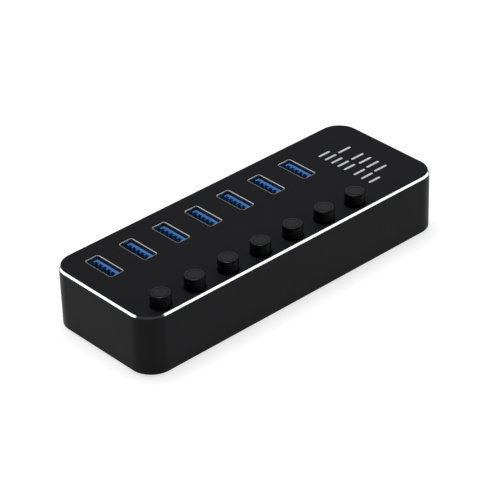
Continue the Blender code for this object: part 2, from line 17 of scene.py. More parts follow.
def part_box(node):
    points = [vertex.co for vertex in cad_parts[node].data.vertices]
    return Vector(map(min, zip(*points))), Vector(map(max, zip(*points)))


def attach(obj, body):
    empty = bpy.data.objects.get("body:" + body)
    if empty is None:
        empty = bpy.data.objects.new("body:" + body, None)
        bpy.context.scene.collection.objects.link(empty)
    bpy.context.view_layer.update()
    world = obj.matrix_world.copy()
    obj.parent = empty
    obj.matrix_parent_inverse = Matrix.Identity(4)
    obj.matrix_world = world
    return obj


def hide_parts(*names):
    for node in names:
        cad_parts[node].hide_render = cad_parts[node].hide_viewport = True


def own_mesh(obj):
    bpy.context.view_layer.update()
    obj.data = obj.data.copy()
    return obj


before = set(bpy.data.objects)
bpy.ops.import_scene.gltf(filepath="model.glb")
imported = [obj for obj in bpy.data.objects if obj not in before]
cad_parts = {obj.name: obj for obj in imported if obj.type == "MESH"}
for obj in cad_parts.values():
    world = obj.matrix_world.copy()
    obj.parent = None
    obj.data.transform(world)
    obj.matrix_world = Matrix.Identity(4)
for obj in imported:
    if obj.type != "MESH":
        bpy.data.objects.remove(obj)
bpy.ops.object.select_all(action="DESELECT")
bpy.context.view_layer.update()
MM = 0.001
X, Y, Z = 0, 1, 2
SOCKETS = range(1, 8)
CORNERS = range(1, 5)

# %% Sizes taken from the model
case_low, case_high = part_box("top_shell")
cover_low, cover_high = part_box("bottom_cover")
cap_low, cap_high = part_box("button_cap_1")
CASE_CORNER = 7.9 * MM
WALL = 1.3 * MM
ROOF = 1.5 * MM
SHEET = 0.3 * MM
SCREW_HOLE = 1.15 * MM
TOP = case_high.z
button_radius = (cap_high.x - cap_low.x) / 2
print("case", [round(side / MM, 2) for side in case_high - case_low], "mm,",
      "button radius", round(button_radius / MM, 2), "mm")

# %% [markdown]
# Camera
#
# The view is a long lens from in front and to the left, a little above the hub, with almost no
# convergence. A long lens keeps the parallel edges of a small object nearly parallel.

# %% Camera
azimuth, elevation, roll = (math.radians(angle) for angle in (41.88, 33.25, -1.72))
distance = 0.7771
back = Vector((-math.sin(azimuth) * math.cos(elevation),
               -math.cos(azimuth) * math.cos(elevation), math.sin(elevation)))
across = (-back).cross(Vector((0, 0, 1))).normalized()
upward = across.cross(-back)
across_rolled = across * math.cos(roll) + upward * math.sin(roll)
upward_rolled = upward * math.cos(roll) - across * math.sin(roll)
camera_data = bpy.data.cameras.new("studio_camera")
camera_data.lens = 171.0
camera_data.sensor_width = 36.0
camera_data.shift_x, camera_data.shift_y = -0.0018, 0.0406
camera = bpy.data.objects.new("studio_camera", camera_data)
bpy.context.scene.collection.objects.link(camera)
turn = Matrix((across_rolled, upward_rolled, back)).transposed().to_4x4()
target = Vector((0, 0, case_low.z))
camera.matrix_world = Matrix.Translation(back * distance + target) @ turn
bpy.context.scene.camera = camera
print("camera at", [round(value, 4) for value in camera.matrix_world.translation])

# %% [markdown]
# Working by hand, in code
#
# Every piece starts as a primitive at its size and place. These small helpers select its faces or
# edges by where they are, as a click would, so that the operators of edit mode can shape it.

# %% Helpers for selecting
SAME_PLACE = 2e-6
STRAIGHT = 0.99


def only(piece):
    """Makes a piece the one selected and active object."""
    bpy.ops.object.select_all(action="DESELECT")
    piece.select_set(True)
    bpy.context.view_layer.objects.active = piece


def pick(piece, kind, test):
    """In edit mode, selects the edges or faces that pass a test."""
    bpy.ops.mesh.select_mode(type=kind)
    bpy.ops.mesh.select_all(action="DESELECT")
    shape = bmesh.from_edit_mesh(piece.data)
    for part in (shape.edges if kind == "EDGE" else shape.faces):
        if test(part):
            part.select_set(True)
    bmesh.update_edit_mesh(piece.data)


def edit(piece):
    only(piece)
    bpy.ops.object.mode_set(mode="EDIT")


def done():
    bpy.ops.object.mode_set(mode="OBJECT")


def along(axis):
    """A test for edges that run along one axis."""
    def test(edge):
        step = edge.verts[1].co - edge.verts[0].co
        return abs(step[axis]) > STRAIGHT * step.length
    return test


def at_level(axis, value):
    """A test for edges that lie at one place on an axis."""
    return lambda edge: all(abs(vert.co[axis] - value) < SAME_PLACE for vert in edge.verts)


def extent(piece):
    """The lowest and the highest corner of a piece."""
    places = [vert.co for vert in piece.data.vertices]
    return (Vector([min(place[axis] for place in places) for axis in (X, Y, Z)]),
            Vector([max(place[axis] for place in places) for axis in (X, Y, Z)]))


def middle_of(name):
    """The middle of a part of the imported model."""
    low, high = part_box(name)
    return (low + high) / 2


# %% Helpers for shaping
def block(name, low, high):
    """A cube that fills the room between two corners."""
    low, high = Vector(low), Vector(high)
    bpy.ops.mesh.primitive_cube_add(size=1, location=(low + high) / 2, scale=high - low)
    piece = bpy.context.object
    piece.name = name
    bpy.ops.object.transform_apply(location=True, rotation=True, scale=True)
    return piece


def rod(radius, length, place, sides=32, tilt=0):
    """A cylinder, its middle at a place, upright or tilted about Y."""
    bpy.ops.mesh.primitive_cylinder_add(vertices=sides, radius=radius, depth=length,
                                        location=place, rotation=(0, math.radians(tilt), 0))
    bpy.ops.object.transform_apply(location=True, rotation=True, scale=True)
    return bpy.context.object


def bevel(piece, test, width, steps):
    edit(piece)
    pick(piece, "EDGE", test)
    bpy.ops.mesh.bevel(offset=width, segments=steps, profile=0.5, affect="EDGES")
    done()


def apply_all(piece):
    only(piece)
    for modifier in list(piece.modifiers):
        bpy.ops.object.modifier_apply(modifier=modifier.name)


def combine(piece, other, operation="DIFFERENCE"):
    """Cuts another piece out of this one, or joins it on, and clears it away."""
    only(piece)
    step = piece.modifiers.new("step", "BOOLEAN")
    step.operation = operation
    step.solver = "EXACT"
    step.object = other
    apply_all(piece)
    bpy.data.objects.remove(other)


def join(pieces):
    """Several pieces as one object."""
    bpy.ops.object.select_all(action="DESELECT")
    for piece in pieces:
        piece.select_set(True)
    bpy.context.view_layer.objects.active = pieces[0]
    bpy.ops.object.join()
    return pieces[0]


# %% [markdown]
# Turned pieces
#
# A button, a foot or a screw head is round, so its outline is drawn once and spun round its axis,
# as on a lathe. The outline starts as one corner of a plane and grows by extruding that corner.

# %% Helpers for turned pieces
def turned(name, outline, place, steps=64):
    """An outline of (radius, height) points, from the axis's top to its bottom, spun round it."""
    bpy.ops.mesh.primitive_plane_add(size=MM)
    piece = bpy.context.object
    piece.name = name
    edit(piece)
    bpy.ops.mesh.select_mode(type="VERT")
    bpy.ops.mesh.select_all(action="SELECT")
    bpy.ops.mesh.merge(type="CENTER")
    bpy.ops.transform.translate(value=(outline[0][0], 0, outline[0][1]))
    for (radius, height), (next_radius, next_height) in zip(outline, outline[1:]):
        bpy.ops.mesh.extrude_region_move(
            TRANSFORM_OT_translate={"value": (next_radius - radius, 0, next_height - height)})
    bpy.ops.mesh.select_all(action="SELECT")
    bpy.ops.mesh.spin(steps=steps, angle=2 * math.pi, center=(0, 0, 0), axis=(0, 0, 1))
    bpy.ops.mesh.select_all(action="SELECT")
    bpy.ops.mesh.remove_doubles(threshold=SAME_PLACE)
    bpy.ops.mesh.normals_make_consistent(inside=False)
    done()
    piece.location = place
    only(piece)
    bpy.ops.object.transform_apply(location=True, rotation=False, scale=False)
    return piece


def arc(centre_radius, centre_height, size, first, last, steps):
    """Points of an arc in an outline, with its angles in degrees from the outward direction."""
    turns = [math.radians(first + (last - first) * i / steps) for i in range(steps + 1)]
    return [(centre_radius + size * math.cos(t), centre_height + size * math.sin(t))
            for t in turns]


def lay_down(piece, place, angle):
    """Turns an upright piece about Y and moves it to its place."""
    only(piece)
    tilt = Matrix.Rotation(math.radians(angle), 4, "Y")
    piece.matrix_world = Matrix.Translation(place) @ tilt
    bpy.ops.object.transform_apply(location=True, rotation=True, scale=True)


# %% Helpers for finishing a piece
def soften(piece, angle=30):
    """Smooth shading on curves, flat shading on flats, so that a flat face doesn't look bowed."""
    only(piece)
    bpy.ops.object.shade_smooth_by_angle(angle=math.radians(angle))
    weighted = piece.modifiers.new("weighted", "WEIGHTED_NORMAL")
    weighted.keep_sharp = True
    apply_all(piece)


def finish(piece, material, angle=30):
    """Gives a piece one finish all over, and its shading."""
    piece.data.materials.clear()
    piece.data.materials.append(material)
    soften(piece, angle)


def keep(piece, body, slot, *nodes):
    """Names the body that a piece rides on, hides the parts it stands for; slot is not used."""
    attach(piece, body)
    if nodes:
        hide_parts(*nodes)


def copy_to(piece, name, shift):
    """A copy with its own mesh, moved in its mesh."""
    twin = piece.copy()
    twin.data = piece.data.copy()
    twin.name = twin.data.name = name
    bpy.context.scene.collection.objects.link(twin)
    twin.data.transform(Matrix.Translation(shift))
    return twin


# %% [markdown]
# Finishes
#
# A colour is written as its sRGB hex value and turned to linear light by one function. Another
# adds a node with its settings and links. Patterns read the piece's own Object coordinates, in
# metres, so a scale of 1 / size gives a grain of that size. Nearly every surface here is one grain
# at its own size: it varies the gloss and the height, and a grain twenty times as coarse varies
# the colour a little.

# %% Helpers for finishes
MIX_AMOUNT, MIX_FIRST, MIX_SECOND, MIX_COLOUR = 0, 6, 7, 2
NOISE_LOW, NOISE_HIGH = 0.3, 0.7
COARSER = 20


def linear(hex_colour):
    channels = [int(hex_colour[i:i + 2], 16) / 255 for i in (1, 3, 5)]
    return [c / 12.92 if c <= 0.04045 else ((c + 0.055) / 1.055) ** 2.4 for c in channels] + [1.0]


def add_node(tree, kind, settings, inputs):
    """Adds a node. An input takes a value, or another node's output."""
    node = tree.nodes.new("ShaderNode" + kind)
    for name, value in settings.items():
        setattr(node, name, value)
    for name, value in inputs.items():
        if isinstance(value, bpy.types.NodeSocket):
            tree.links.new(value, node.inputs[name])
        else:
            node.inputs[name].default_value = value
    return node


def surface(name, **constants):
    """A material with its shader's constants set, and its tree, shader and Object coordinates."""
    material = bpy.data.materials.new(name)
    material.use_nodes = True
    tree = material.node_tree
    shader = tree.nodes["Principled BSDF"]
    for label, value in constants.items():
        shader.inputs[label.replace("_", " ")].default_value = value
    return material, tree, shader, add_node(tree, "TexCoord", {}, {}).outputs["Object"]


def grained(name, colours, roughness, size, depth, stretch=(1, 1, 1), **constants):
    """A finish of one grain: its two colours, its lowest and highest roughness, size and depth."""
    material, tree, shader, place = surface(name, **constants)
    drawn = add_node(tree, "Mapping", {}, {"Vector": place, "Scale": stretch}).outputs["Vector"]
    fine = add_node(tree, "TexNoise", {}, {"Vector": drawn, "Scale": 1 / size,
                                           "Detail": 3.0}).outputs["Fac"]
    broad = add_node(tree, "TexNoise", {}, {"Vector": drawn,
                                            "Scale": 1 / (COARSER * size)}).outputs["Fac"]
    colour = add_node(tree, "Mix", {"data_type": "RGBA"}, {
        MIX_AMOUNT: broad, MIX_FIRST: linear(colours[0]), MIX_SECOND: linear(colours[1])})
    gloss = add_node(tree, "MapRange", {}, {
        "Value": fine, "From Min": NOISE_LOW, "From Max": NOISE_HIGH,
        "To Min": roughness[0], "To Max": roughness[1]})
    relief = add_node(tree, "Bump", {}, {"Height": fine, "Distance": depth, "Strength": 0.5})
    tree.links.new(colour.outputs[MIX_COLOUR], shader.inputs["Base Color"])
    tree.links.new(gloss.outputs["Result"], shader.inputs["Roughness"])
    tree.links.new(relief.outputs["Normal"], shader.inputs["Normal"])
    return material


# %% [markdown]
# Black anodised aluminium and its cut edge
#
# The case is milled, blasted with fine glass beads to a satin skin, and dyed black as it is
# anodised. The dyed oxide swallows most of the light, so the eye sees a soft dark grey with hardly
# a sheen. Real bead marks are 0.05 to 0.1 mm and wouldn't show, so they are drawn at 0.35 mm. A
# diamond cutter then takes a narrow slope off the top edge and leaves bare, mirror-bright
# aluminium. Its hair-fine lines run along the cut, so its pattern changes with height alone.

# %% Anodised and cut finishes
LEVEL_LINES = (0, 0, 1)
anodised = grained("black_anodised", ("#18181A", "#1B1B1D"), (0.36, 0.46), 0.35 * MM, 0.014 * MM,
                   Specular_IOR_Level=0.05)
bright_cut = grained("bright_cut_aluminium", ("#EDEEF0", "#F8F8F8"), (0.06, 0.12), 0.05 * MM,
                     0.0001 * MM, LEVEL_LINES, Metallic=1.0)

# %% [markdown]
# Moulded plastics, ink and rubber
#
# The cover, the buttons, the jack and the switches are injection moulded. The mould's skin is
# finely eroded, which leaves a matt grain of 0.1 to 0.4 mm. A button's side is polished, because
# it slides, and its top is eroded, because a finger rests on it. Both are one black plastic, but
# the top is given a lighter colour, which is painted light, and the side a near-black colour,
# which is painted shade. The marks are pad printed, a film a few hundredths of a millimetre thick.

# %% Moulded and printed finishes
cover_plastic = grained("black_moulded_abs", ("#101011", "#161617"), (0.50, 0.60), 0.4 * MM,
                        0.02 * MM)
# The side's near-black colour is painted shade and the top's lighter colour is painted light, on
# one black plastic.
cap_side_painted_shade = grained("cap_side_polished_painted_shade", ("#050505", "#070708"), (0.22, 0.30), 0.3 * MM,
                      0.003 * MM, Specular_IOR_Level=0.04)
cap_top_painted_light = grained("cap_top_satin_painted_light", ("#121214", "#161618"), (0.26, 0.36), 0.3 * MM,
                     0.008 * MM, Specular_IOR_Level=0.33)
jack_plastic = grained("jack_nylon", ("#101011", "#151515"), (0.40, 0.50), 0.3 * MM, 0.01 * MM)
switch_plastic = grained("switch_nylon", ("#141416", "#1A1A1C"), (0.45, 0.55), 0.3 * MM,
                         0.01 * MM)
stem_plastic = grained("stem_acetal", ("#DCDBD4", "#E6E5DE"), (0.37, 0.47), 0.3 * MM, 0.006 * MM)
blue_plastic = grained("blue_nylon", ("#2A67AB", "#3673B8"), (0.26, 0.36), 0.3 * MM, 0.006 * MM)
chip_plastic = grained("chip_epoxy", ("#18181A", "#1F1F21"), (0.55, 0.65), 0.15 * MM, 0.006 * MM)
foot_rubber = grained("foot_rubber", ("#131313", "#1B1B1A"), (0.80, 0.90), 0.25 * MM, 0.03 * MM,
                      Specular_IOR_Level=0.3)
ink = grained("pad_print_ink", ("#B9B9B9", "#D2D2D2"), (0.50, 0.70), 0.4 * MM, 0.004 * MM,
              Specular_IOR_Level=0.3)

# %% [markdown]
# Sheet metals and small metal parts
#
# Sockets are stamped from thin steel and plated with nickel, contacts are flashed with gold, and
# the screws are zinc plated. Rolling and drawing leave faint streaks, so a sheet's pattern is
# stretched ten times along Z, the way that it is drawn down. Wire, screws and cans have theirs the
# same all ways.

# %% Metal finishes
DRAWN = (1, 1, 0.1)
nickel = grained("nickel_sheet", ("#B9B7B2", "#D2D0CB"), (0.20, 0.34), 0.3 * MM, 0.003 * MM,
                 DRAWN, Metallic=1.0)
gold = grained("contact_gold", ("#D9B978", "#EACB8C"), (0.22, 0.36), 0.2 * MM, 0.003 * MM,
               DRAWN, Metallic=1.0)
zinc = grained("zinc_screw_steel", ("#A9ABAE", "#C4C6C8"), (0.28, 0.42), 0.25 * MM, 0.003 * MM,
               Metallic=1.0)
can_nickel = grained("crystal_can_nickel", ("#B5B3AC", "#CFCDC6"), (0.24, 0.38), 0.3 * MM,
                     0.003 * MM, Metallic=1.0)
can_aluminium = grained("capacitor_can_aluminium", ("#B4B6B8", "#D0D2D4"), (0.24, 0.38), 0.3 * MM,
                        0.003 * MM, Metallic=1.0)
wire_steel = grained("spring_wire_steel", ("#A6A6A6", "#C2C2C2"), (0.24, 0.38), 0.1 * MM,
                     0.003 * MM, Metallic=1.0)
pin_brass = grained("jack_pin_nickel_brass", ("#C9C4B4", "#DAD6C8"), (0.19, 0.33), 0.2 * MM,
                    0.003 * MM, Metallic=1.0)

# %% [markdown]
# Solder mask
#
# The board is glass cloth in resin under green solder mask, and the weave, with threads 0.5 mm
# apart, just shows through. Its pattern is bands and not grains, so it is built on its own.

# %% Solder mask finish
THREAD = 0.5 * MM
BAND_UNIT = 20
solder_mask, tree, shader, place = surface("solder_mask_green")
weave = add_node(tree, "TexWave", {"bands_direction": "DIAGONAL"}, {
    "Vector": place, "Scale": 1 / (BAND_UNIT * THREAD), "Distortion": 1.0}).outputs["Fac"]
grain = add_node(tree, "TexNoise", {}, {"Vector": place, "Scale": 1 / THREAD}).outputs["Fac"]
colour = add_node(tree, "Mix", {"data_type": "RGBA"}, {
    MIX_AMOUNT: weave, MIX_FIRST: linear("#0C4A2B"), MIX_SECOND: linear("#125A35")})
gloss = add_node(tree, "MapRange", {}, {
    "Value": grain, "From Min": NOISE_LOW, "From Max": NOISE_HIGH, "To Min": 0.32, "To Max": 0.45})
relief = add_node(tree, "Bump", {}, {"Height": weave, "Distance": 0.01 * MM, "Strength": 0.4})
tree.links.new(colour.outputs[MIX_COLOUR], shader.inputs["Base Color"])
tree.links.new(gloss.outputs["Result"], shader.inputs["Roughness"])
tree.links.new(relief.outputs["Normal"], shader.inputs["Normal"])
print("finishes:", len(bpy.data.materials))

# %% [markdown]
# Holes in the case
#
# Each hole's edge is broken by a small bevel so that it doesn't cut a finger, and so that it
# catches a thin line of light. The cutter is therefore flared where it leaves the top face: its
# top face is moved down, extruded up and made larger.

# %% Cutters for the holes
HOLE_BREAK = 0.12 * MM
HOLE_CORNER = 1.1 * MM
SOCKET_GAP = 0.2 * MM
BUTTON_GAP = 0.12 * MM
FACES_UP = 0.9


def flare(cutter, level, wider):
    """Makes a cutter wider from just under a level to just over it."""
    low, high = extent(cutter)
    middle, size = (low + high) / 2, high - low
    edit(cutter)
    pick(cutter, "FACE", lambda face: face.normal.z > FACES_UP)
    bpy.ops.transform.translate(value=(0, 0, level - wider - high.z))
    bpy.ops.mesh.extrude_region_move(TRANSFORM_OT_translate={"value": (0, 0, 2 * wider)})
    bpy.ops.transform.resize(
        value=((size.x + 4 * wider) / size.x, (size.y + 4 * wider) / size.y, 1),
        center_override=middle)
    done()
    return cutter


def socket_cutter(low, high):
    cutter = block("socket_cutter", (low.x - SOCKET_GAP, low.y - SOCKET_GAP, TOP - 2 * ROOF),
                   (high.x + SOCKET_GAP, high.y + SOCKET_GAP, TOP + MM))
    bevel(cutter, along(Z), HOLE_CORNER, 10)
    return flare(cutter, TOP, HOLE_BREAK)


def button_cutter(middle):
    cutter = rod(button_radius + BUTTON_GAP, 4 * MM, (middle.x, middle.y, TOP - MM), 72)
    return flare(cutter, TOP, HOLE_BREAK / 2)


# %% [markdown]
# The case
#
# One block of metal, rounded at its corners, with the bright cut along its top edge, hollow from
# below. A bevel makes each of these, because it keeps the width the same all the way round. The
# hollow and the holes are then cut out of it.

# %% Build the case
RIM_CUT = 0.55 * MM
LOWER_EDGE = 0.2 * MM
BOSS_RADIUS = 2.2 * MM
BOSS_GAP = 0.3 * MM
case = block("case_shell", case_low, case_high)
bevel(case, along(Z), CASE_CORNER, 28)
bevel(case, at_level(Z, case_high.z), RIM_CUT, 1)
bevel(case, at_level(Z, case_low.z), LOWER_EDGE, 2)
hollow = block("hollow", case_low + Vector((WALL, WALL, -WALL)),
               case_high - Vector((WALL, WALL, ROOF)))
bevel(hollow, along(Z), CASE_CORNER - WALL, 20)
combine(case, hollow)

boss_foot, boss_top = cover_high.z + BOSS_GAP, TOP - ROOF / 2
screw_places = [middle_of(f"cover_screw_{number}") for number in CORNERS]
bosses = [rod(BOSS_RADIUS, boss_top - boss_foot, (place.x, place.y, (boss_top + boss_foot) / 2))
          for place in screw_places]
combine(case, join(bosses), "UNION")
print("bosses:", len(bosses))

# %% Cut its holes
DRILL_LOW, DRILL_HIGH = 1.7 * MM, 9.7 * MM
CONNECTOR_GAP = 0.3 * MM
CONNECTOR_CORNER = 0.9 * MM
JACK_HOLE = 3.7 * MM
upstream_low, upstream_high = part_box("upstream_socket_shell")
jack_low, jack_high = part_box("power_jack_body")
jack_middle = (jack_low + jack_high) / 2
cutters = [socket_cutter(*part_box(f"port_shell_{number}")) for number in SOCKETS]
cutters += [button_cutter(middle_of(f"button_cap_{number}")) for number in SOCKETS]
cutters += [rod(SCREW_HOLE, DRILL_HIGH - DRILL_LOW,
                (place.x, place.y, (DRILL_LOW + DRILL_HIGH) / 2), 24) for place in screw_places]
opening = block("opening", (case_high.x - 2 * WALL, upstream_low.y - CONNECTOR_GAP,
                            upstream_low.z - CONNECTOR_GAP),
                (case_high.x + WALL, upstream_high.y + CONNECTOR_GAP,
                 upstream_high.z + CONNECTOR_GAP))
bevel(opening, along(X), CONNECTOR_CORNER, 6)
jack_hole = rod(JACK_HOLE, 4 * WALL, (case_high.x, jack_middle.y, jack_middle.z), 72, tilt=90)
cutters += [opening, jack_hole]
combine(case, join(cutters))
print("case faces:", len(case.data.polygons))

# %% Give the case its finishes
ANODISED_SLOT, BRIGHT_SLOT = 0, 1
RIM_ZONE = 0.6 * MM
GENTLEST, STEEPEST = 0.9, 0.5
case.data.materials.clear()
case.data.materials.append(anodised)
case.data.materials.append(bright_cut)
corner_axis = Vector((case_high.x - CASE_CORNER, case_high.y - CASE_CORNER))
for face in case.data.polygons:
    sloping = STEEPEST < face.normal.z < GENTLEST and face.center.z > TOP - RIM_CUT
    from_axis = math.hypot(max(abs(face.center.x) - corner_axis.x, 0),
                           max(abs(face.center.y) - corner_axis.y, 0))
    on_rim = sloping and from_axis > CASE_CORNER - RIM_ZONE
    face.material_index = BRIGHT_SLOT if on_rim else ANODISED_SLOT
soften(case)
keep(case, "housing", "black_anodised", "top_shell")
print("bright faces:", sum(face.material_index == BRIGHT_SLOT for face in case.data.polygons))

# %% [markdown]
# The sockets
#
# A socket is one strip of steel folded into a box round a plastic tongue. Its mouth is rolled
# smooth, and two spring fingers are cut in each wide wall and bent inwards to hold the plug. The
# box is made from a block less its inside, the windows are cut, and each finger is an edge
# extruded along a bent path, with Solidify for the thickness of the sheet.

# %% Build one socket shell
SHELL_CORNER = 0.9 * MM
MOUTH_CORNER = 0.6 * MM
LIP = 0.09 * MM
FINGER_PLACES = (-3.1 * MM, 3.1 * MM)
WINDOW_HALF = 1.1 * MM
WINDOW_LOW, WINDOW_HIGH = 9.0 * MM, 2.6 * MM
shell_low, shell_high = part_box("port_shell_1")
shell_middle = (shell_low + shell_high) / 2
shell = block("socket_shell_1", shell_low, shell_high)
bevel(shell, along(Z), SHELL_CORNER, 8)
inside = block("inside", shell_low + Vector((SHEET, SHEET, -MM)),
               shell_high + Vector((-SHEET, -SHEET, MM)))
bevel(inside, along(Z), MOUTH_CORNER, 8)
combine(shell, flare(inside, shell_high.z, LIP))
windows = [block("window", (side + wall_low, shell_middle.y + y - WINDOW_HALF,
                            shell_high.z - WINDOW_LOW),
                 (side + wall_high, shell_middle.y + y + WINDOW_HALF, shell_high.z - WINDOW_HIGH))
           for side, wall_low, wall_high in ((shell_low.x, -MM, 0.5 * MM),
                                             (shell_high.x, -0.5 * MM, MM))
           for y in FINGER_PLACES]
combine(shell, join(windows))
print("windows:", len(windows))

# %% Add its spring fingers
FINGER_WIDTH = 1.5 * MM
FINGER_ROOT = 9.1 * MM
FINGER_SHEET = 0.2 * MM
# each step of a finger's path, in millimetres: inwards, upwards
FINGER_PATH = ((0.05, 0.8), (0.16, 1.1), (0.20, 1.0), (0.06, 0.5), (-0.06, 0.4), (-0.22, 0.7))


def finger(x, y, inward):
    """One spring finger: from the window's lower edge, in to a rounded hump, and back."""
    bpy.ops.mesh.primitive_plane_add(size=FINGER_WIDTH, location=(x, y, shell_high.z - FINGER_ROOT),
                                     rotation=(0, math.radians(90), 0))
    strip = bpy.context.object
    bpy.ops.object.transform_apply(location=True, rotation=True, scale=True)
    top_edge = extent(strip)[1].z
    edit(strip)
    pick(strip, "EDGE", at_level(Z, top_edge))
    for inward_step, upward_step in FINGER_PATH:
        bpy.ops.mesh.extrude_region_move(TRANSFORM_OT_translate={
            "value": (inward * inward_step * MM, 0, upward_step * MM)})
    bpy.ops.mesh.select_all(action="SELECT")
    bpy.ops.mesh.normals_make_consistent(inside=False)
    done()
    thick = strip.modifiers.new("sheet", "SOLIDIFY")
    thick.thickness = FINGER_SHEET
    thick.offset = 0
    apply_all(strip)
    return strip


fingers = [finger(x, shell_middle.y + y, inward)
           for x, inward in ((shell_low.x + SHEET / 2, 1), (shell_high.x - SHEET / 2, -1))
           for y in FINGER_PLACES]
shell = join([shell] + fingers)
finish(shell, nickel)
print("socket shell faces:", len(shell.data.polygons))

# %% [markdown]
# Tongue and contacts
#
# The blue tongue carries nine contacts, all on the side with more room. Five flat pads, 2 mm
# apart, lie in slots that are open at its tip, which leaves a comb of thin ribs. Four wider
# springs lie behind them. The tongue is a base and a blade, joined, and the slots are cut out of
# them with a row of blocks.

# %% Build one tongue
TONGUE_GAP = 0.72 * MM
TONGUE_HALF = 1.84 * MM / 2
BLADE_HALF = 5.55 * MM
SHOULDER_HEIGHT = 3.5 * MM
SLOT_PLACES = (-4, -2, 0, 2, 4)
SLOT_HALF = 0.78
SLOT_LENGTH = 4.6 * MM
SLOT_DEPTH = 0.72 * MM
BASE_CORNER, BASE_EDGE, TIP_EDGE = 0.6 * MM, 0.15 * MM, 0.12 * MM
tongue_low, tongue_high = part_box("port_tongue_1")
shoulder = tongue_low.z + SHOULDER_HEIGHT
tongue_x = shell_high.x - SHEET - TONGUE_GAP - TONGUE_HALF
tongue_side = tongue_x - TONGUE_HALF
tongue = block("socket_tongue_1", tongue_low, (tongue_high.x, tongue_high.y, shoulder))
bevel(tongue, along(Z), BASE_CORNER, 5)
bevel(tongue, at_level(Z, shoulder), BASE_EDGE, 2)
blade = block("blade", (tongue_side, shell_middle.y - BLADE_HALF, shoulder - MM),
              (tongue_x + TONGUE_HALF, shell_middle.y + BLADE_HALF, tongue_high.z))
bevel(blade, at_level(Z, tongue_high.z), TIP_EDGE, 3)
slots = [block("slot", (tongue_side - MM, shell_middle.y + (y - SLOT_HALF) * MM,
                        tongue_high.z - SLOT_LENGTH),
               (tongue_side + SLOT_DEPTH, shell_middle.y + (y + SLOT_HALF) * MM,
                tongue_high.z + MM)) for y in SLOT_PLACES]
combine(blade, join(slots))
combine(tongue, blade, "UNION")
finish(tongue, blue_plastic)
print("tongue tip below the mouth:", round((shell_high.z - tongue_high.z) / MM, 2), "mm")

# %% Build its contacts
PROUD = 0.1 * MM


def contact(x, y, width, low, high):
    """One flat contact, a tenth of a millimetre proud, with a rounded edge."""
    middle = shell_middle.y + y * MM
    strip = block("contact", (x - PROUD, middle - width / 2, tongue_high.z - low * MM),
                  (x + PROUD, middle + width / 2, tongue_high.z - high * MM))
    bevel(strip, lambda edge: all(vert.co.x < x for vert in edge.verts), PROUD / 2, 2)
    return strip


strips = [contact(tongue_side + SLOT_DEPTH, y, 0.9 * MM, 4.4, 1.0) for y in SLOT_PLACES]
strips += [contact(tongue_side, y, 1.0 * MM, 9.0, 4.8) for y in (-3.5, -1.0, 1.0, 3.5)]
contacts = join(strips)
contacts.name = "socket_contacts_1"
finish(contacts, gold)
print("contacts:", len(strips))

# %% Copy the socket along the row
for number in SOCKETS:
    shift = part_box(f"port_shell_{number}")[0] - shell_low
    parts = [shell, tongue, contacts] if number == 1 else [
        copy_to(shell, f"socket_shell_{number}", shift),
        copy_to(tongue, f"socket_tongue_{number}", shift),
        copy_to(contacts, f"socket_contacts_{number}", shift)]
    keep(parts[0], "housing", "nickel_sheet", f"port_shell_{number}")
    keep(parts[1], "housing", "blue_insulator", f"port_tongue_{number}")
    keep(parts[2], "housing", "contact_gold")
print("sockets:", len(SOCKETS))

# %% [markdown]
# The buttons
#
# Each cap is a round plastic plunger with a rounded top edge, a fine ring sunk in its top, and
# shallow grooves round its side where a finger can grip it. It is hollow underneath, where it fits
# the stem of its switch.

# %% Draw a button's outline
CAP_EDGE = 0.45 * MM
RING_RADIUS, RING_DEPTH = 2.45 * MM, 0.07 * MM
GROOVE_HALF, GROOVE_DEPTH = 0.12 * MM, 0.06 * MM
GROOVES = (1.35, 2.15, 2.95, 3.75)
CAP_CHAMFER = 0.3 * MM
STEM_RADIUS, STEM_DEPTH = 1.5 * MM, 5.3 * MM
outline = [(0, cap_high.z), (RING_RADIUS - GROOVE_HALF, cap_high.z),
           (RING_RADIUS - GROOVE_HALF / 2, cap_high.z - RING_DEPTH),
           (RING_RADIUS + GROOVE_HALF / 2, cap_high.z - RING_DEPTH),
           (RING_RADIUS + GROOVE_HALF, cap_high.z)]
outline += arc(button_radius - CAP_EDGE, cap_high.z - CAP_EDGE, CAP_EDGE, 90, 0, 8)
for groove in GROOVES:
    level = cap_high.z - groove * MM
    outline += [(button_radius, level + GROOVE_HALF), (button_radius - GROOVE_DEPTH, level),
                (button_radius, level - GROOVE_HALF)]
outline += [(button_radius, cap_low.z + CAP_CHAMFER), (button_radius - CAP_CHAMFER, cap_low.z),
            (STEM_RADIUS, cap_low.z), (STEM_RADIUS, cap_low.z + STEM_DEPTH),
            (0, cap_low.z + STEM_DEPTH)]
print("points in the outline:", len(outline))

# %% Build the button caps
TOP_SLOPE = 0.92
cap_middle = (cap_low + cap_high) / 2
cap = turned("button_1_cap", outline, (cap_middle.x, cap_middle.y, 0), 72)
cap.data.materials.append(cap_side_painted_shade)
cap.data.materials.append(cap_top_painted_light)
# Top faces get the lighter colour, which is painted light; all other faces get the near-black
# colour, which is painted shade.
for face in cap.data.polygons:
    on_top = face.normal.z > TOP_SLOPE and face.center.z > cap_high.z - CAP_EDGE
    face.material_index = 1 if on_top else 0
soften(cap, 35)
for number in SOCKETS:
    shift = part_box(f"button_cap_{number}")[0] - cap_low
    twin = cap if number == 1 else copy_to(cap, f"button_{number}_cap", shift)
    keep(twin, f"button_{number}", "button_resin", f"button_cap_{number}")
print("caps of", len(cap.data.polygons), "faces")

# %% [markdown]
# The springs
#
# A button's return spring is a helix of steel wire. A small circle is drawn at the height of the
# first turn, and the Screw modifier winds it up. Pressing the button squeezes it towards the
# switch's floor.

